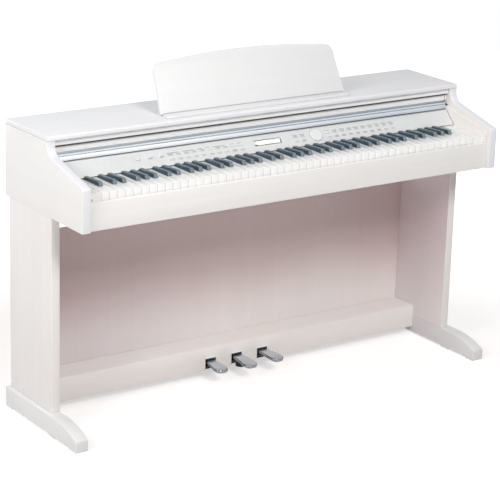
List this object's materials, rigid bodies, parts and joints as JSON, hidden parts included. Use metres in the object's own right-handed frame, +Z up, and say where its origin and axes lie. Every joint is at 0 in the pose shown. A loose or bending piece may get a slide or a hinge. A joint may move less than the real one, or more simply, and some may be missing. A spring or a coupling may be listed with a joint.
{
  "type": "electric piano",
  "caption": "Console electric piano: key cover with metal grip, sloped control panel, folding music rest, side panels on long feet, kneeboard and pedal box.",
  "frame": {"origin": "on the floor, under the middle of the object's bounding box", "axes": "+X to the player's right (treble end), +Y from the player to the back, +Z up"},
  "size_m": [1.384, 0.414, 0.9526],
  "materials": {
    "white_board": "white wood-grain laminate, satin",
    "foot_white": "satin white moulding",
    "white_keys": "gloss",
    "black_keys": "satin",
    "panel_plastic": "fine satin",
    "grip_metal": "anodised satin with a bright lip",
    "pedal_metal": "polished, satin top",
    "steel": "plated",
    "black_metal": "satin black",
    "black_plastic": "matte",
    "display_glass": "clear",
    "circuit_board": "solder resist"
  },
  "bodies": {
    "case": {"side_arm_left": "white_board", "side_arm_right": "white_board", "top_board": "white_board", "fascia_strip": "white_board", "keybed": "white_board", "key_slip": "white_board", "rear_board": "white_board", "socket_plate": "black_plastic", "speaker_left": "black_metal", "speaker_right": "black_metal", "main_board": "circuit_board", "guide_plate_left": "white_board", "guide_plate_right": "white_board", "key_block_left": "white_board", "key_block_right": "white_board", "key_frame": "steel", "control_panel": "panel_plastic", "display_window": "display_glass", "rest_ledge": "white_board", "side_panel_left": "white_board", "side_panel_right": "white_board", "foot_left": "foot_white", "foot_right": "foot_white", "kneeboard": "white_board", "pedal_box": "white_board", "pedal_frame": "black_metal"},
    "cover_shaft": {"cover_shaft": "steel"},
    "key_cover": {"key_cover": "white_board", "cover_grip": "grip_metal", "cover_shoe_left": "black_plastic", "cover_shoe_right": "black_plastic"},
    "music_rest": {"music_rest": "white_board"},
    "rest_stay": {"rest_stay": "steel"},
    "pedal_left": {"pedal_left": "pedal_metal"},
    "pedal_middle": {"pedal_middle": "pedal_metal"},
    "pedal_right": {"pedal_right": "pedal_metal"},
    "levelling_foot": {"levelling_foot": "black_plastic"},
    "data_dial": {"data_dial": "panel_plastic"},
    "slider_left": {"slider_left": "panel_plastic"},
    "slider_right": {"slider_right": "panel_plastic"},
    "power_button": {"power_button": "panel_plastic"},
    "button_bank_left": {"button_bank_left": "panel_plastic"},
    "button_bank_middle": {"button_bank_middle": "panel_plastic"},
    "button_bank_right": {"button_bank_right": "panel_plastic"},
    "white_keys_low": {"white_keys_low": "white_keys"},
    "black_keys_low": {"black_keys_low": "black_keys"},
    "white_keys_high": {"white_keys_high": "white_keys"},
    "black_keys_high": {"black_keys_high": "black_keys"},
    "key_c": {"key_c": "white_keys"},
    "key_c_sharp": {"key_c_sharp": "black_keys"},
    "key_d": {"key_d": "white_keys"},
    "key_d_sharp": {"key_d_sharp": "black_keys"},
    "key_e": {"key_e": "white_keys"},
    "key_f": {"key_f": "white_keys"},
    "key_f_sharp": {"key_f_sharp": "black_keys"},
    "key_g": {"key_g": "white_keys"},
    "key_g_sharp": {"key_g_sharp": "black_keys"},
    "key_a": {"key_a": "white_keys"},
    "key_a_sharp": {"key_a_sharp": "black_keys"},
    "key_b": {"key_b": "white_keys"}
  },
  "joints": [
    {"name": "cover_slide", "type": "slide", "parent": "case", "child": "cover_shaft", "axis": [0, -1, 0], "range_m": [0, 0.172]},
    {"name": "cover_tilt", "type": "hinge", "parent": "cover_shaft", "child": "key_cover", "pos_m": [0, 0.178, 0.75692], "axis": [1, 0, 0], "range_deg": [0, 10]},
    {"name": "rest_fold", "type": "hinge", "parent": "case", "child": "music_rest", "pos_m": [0, 0.04523, 0.80852], "axis": [-1, 0, 0], "range_deg": [0, 64]},
    {"name": "stay_swing", "type": "hinge", "parent": "music_rest", "child": "rest_stay", "pos_m": [0, 0.0768, 0.87323], "axis": [1, 0, 0], "range_deg": [0, 128]},
    {"name": "pedal_left_press", "type": "hinge", "parent": "case", "child": "pedal_left", "pos_m": [-0.08341, 0.15001, 0.041], "axis": [0.9969, -0.0785, 0], "range_deg": [0, 5.8], "stiffness_Nm_per_rad": 20, "springref_deg": -3.44},
    {"name": "pedal_middle_press", "type": "hinge", "parent": "case", "child": "pedal_middle", "pos_m": [0.0014, 0.1502, 0.041], "axis": [1, 0, 0], "range_deg": [0, 5.8], "stiffness_Nm_per_rad": 20, "springref_deg": -3.44},
    {"name": "pedal_right_press", "type": "hinge", "parent": "case", "child": "pedal_right", "pos_m": [0.08621, 0.15001, 0.041], "axis": [0.9969, 0.0785, 0], "range_deg": [0, 5.8], "stiffness_Nm_per_rad": 20, "springref_deg": -3.44},
    {"name": "levelling_turn", "type": "hinge", "parent": "case", "child": "levelling_foot", "pos_m": [0.037, 0.1202, 0.005], "axis": [0, 0, 1], "continuous": true},
    {"name": "dial_turn", "type": "hinge", "parent": "case", "child": "data_dial", "pos_m": [0.163, -0.03408, 0.71322], "axis": [0, -0.7071, 0.7071], "continuous": true},
    {"name": "slider_left_travel", "type": "slide", "parent": "case", "child": "slider_left", "axis": [0, 0.7071, 0.7071], "range_m": [-0.0185, 0.0075]},
    {"name": "slider_right_travel", "type": "slide", "parent": "case", "child": "slider_right", "axis": [0, 0.7071, 0.7071], "range_m": [-0.0185, 0.0075]},
    {"name": "power_press", "type": "slide", "parent": "case", "child": "power_button", "axis": [0, 0.7071, -0.7071], "range_m": [0, 0.001], "stiffness_N_per_m": 500, "springref_m": -0.0005},
    {"name": "bank_left_press", "type": "slide", "parent": "case", "child": "button_bank_left", "axis": [0, 0.7071, -0.7071], "range_m": [0, 0.001], "stiffness_N_per_m": 800, "springref_m": -0.001},
    {"name": "bank_middle_press", "type": "slide", "parent": "case", "child": "button_bank_middle", "axis": [0, 0.7071, -0.7071], "range_m": [0, 0.001], "stiffness_N_per_m": 800, "springref_m": -0.001},
    {"name": "bank_right_press", "type": "slide", "parent": "case", "child": "button_bank_right", "axis": [0, 0.7071, -0.7071], "range_m": [0, 0.001], "stiffness_N_per_m": 800, "springref_m": -0.001},
    {"name": "white_keys_low_press", "type": "hinge", "parent": "case", "child": "white_keys_low", "pos_m": [0, 0.0352, 0.679], "axis": [1, 0, 0], "range_deg": [0, 2.6], "stiffness_Nm_per_rad": 60, "springref_deg": -4.58},
    {"name": "white_keys_high_press", "type": "hinge", "parent": "case", "child": "white_keys_high", "pos_m": [0, 0.0352, 0.679], "axis": [1, 0, 0], "range_deg": [0, 2.6], "stiffness_Nm_per_rad": 58, "springref_deg": -4.58},
    {"name": "black_keys_low_press", "type": "hinge", "parent": "case", "child": "black_keys_low", "pos_m": [0, 0.0352, 0.679], "axis": [1, 0, 0], "range_deg": [0, 2.6], "stiffness_Nm_per_rad": 35, "springref_deg": -4.58},
    {"name": "black_keys_high_press", "type": "hinge", "parent": "case", "child": "black_keys_high", "pos_m": [0, 0.0352, 0.679], "axis": [1, 0, 0], "range_deg": [0, 2.6], "stiffness_Nm_per_rad": 33, "springref_deg": -4.58},
    {"name": "key_c_press", "type": "hinge", "parent": "case", "child": "key_c", "pos_m": [0, 0.0352, 0.679], "axis": [1, 0, 0], "range_deg": [0, 2.6], "stiffness_Nm_per_rad": 2.6, "springref_deg": -4.58},
    {"name": "key_c_sharp_press", "type": "hinge", "parent": "case", "child": "key_c_sharp", "pos_m": [0, 0.0352, 0.679], "axis": [1, 0, 0], "range_deg": [0, 2.6], "stiffness_Nm_per_rad": 2.2, "springref_deg": -4.58},
    {"name": "key_d_press", "type": "hinge", "parent": "case", "child": "key_d", "pos_m": [0, 0.0352, 0.679], "axis": [1, 0, 0], "range_deg": [0, 2.6], "stiffness_Nm_per_rad": 2.6, "springref_deg": -4.58},
    {"name": "key_d_sharp_press", "type": "hinge", "parent": "case", "child": "key_d_sharp", "pos_m": [0, 0.0352, 0.679], "axis": [1, 0, 0], "range_deg": [0, 2.6], "stiffness_Nm_per_rad": 2.2, "springref_deg": -4.58},
    {"name": "key_e_press", "type": "hinge", "parent": "case", "child": "key_e", "pos_m": [0, 0.0352, 0.679], "axis": [1, 0, 0], "range_deg": [0, 2.6], "stiffness_Nm_per_rad": 2.6, "springref_deg": -4.58},
    {"name": "key_f_press", "type": "hinge", "parent": "case", "child": "key_f", "pos_m": [0, 0.0352, 0.679], "axis": [1, 0, 0], "range_deg": [0, 2.6], "stiffness_Nm_per_rad": 2.6, "springref_deg": -4.58},
    {"name": "key_f_sharp_press", "type": "hinge", "parent": "case", "child": "key_f_sharp", "pos_m": [0, 0.0352, 0.679], "axis": [1, 0, 0], "range_deg": [0, 2.6], "stiffness_Nm_per_rad": 2.2, "springref_deg": -4.58},
    {"name": "key_g_press", "type": "hinge", "parent": "case", "child": "key_g", "pos_m": [0, 0.0352, 0.679], "axis": [1, 0, 0], "range_deg": [0, 2.6], "stiffness_Nm_per_rad": 2.6, "springref_deg": -4.58},
    {"name": "key_g_sharp_press", "type": "hinge", "parent": "case", "child": "key_g_sharp", "pos_m": [0, 0.0352, 0.679], "axis": [1, 0, 0], "range_deg": [0, 2.6], "stiffness_Nm_per_rad": 2.2, "springref_deg": -4.58},
    {"name": "key_a_press", "type": "hinge", "parent": "case", "child": "key_a", "pos_m": [0, 0.0352, 0.679], "axis": [1, 0, 0], "range_deg": [0, 2.6], "stiffness_Nm_per_rad": 2.6, "springref_deg": -4.58},
    {"name": "key_a_sharp_press", "type": "hinge", "parent": "case", "child": "key_a_sharp", "pos_m": [0, 0.0352, 0.679], "axis": [1, 0, 0], "range_deg": [0, 2.6], "stiffness_Nm_per_rad": 2.2, "springref_deg": -4.58},
    {"name": "key_b_press", "type": "hinge", "parent": "case", "child": "key_b", "pos_m": [0, 0.0352, 0.679], "axis": [1, 0, 0], "range_deg": [0, 2.6], "stiffness_Nm_per_rad": 2.6, "springref_deg": -4.58}
  ],
  "couplings": [
    {"joint": "cover_tilt", "follows": "cover_slide", "rad_per_m": 1.0147},
    {"joint": "stay_swing", "follows": "rest_fold", "ratio": 2}
  ]
}
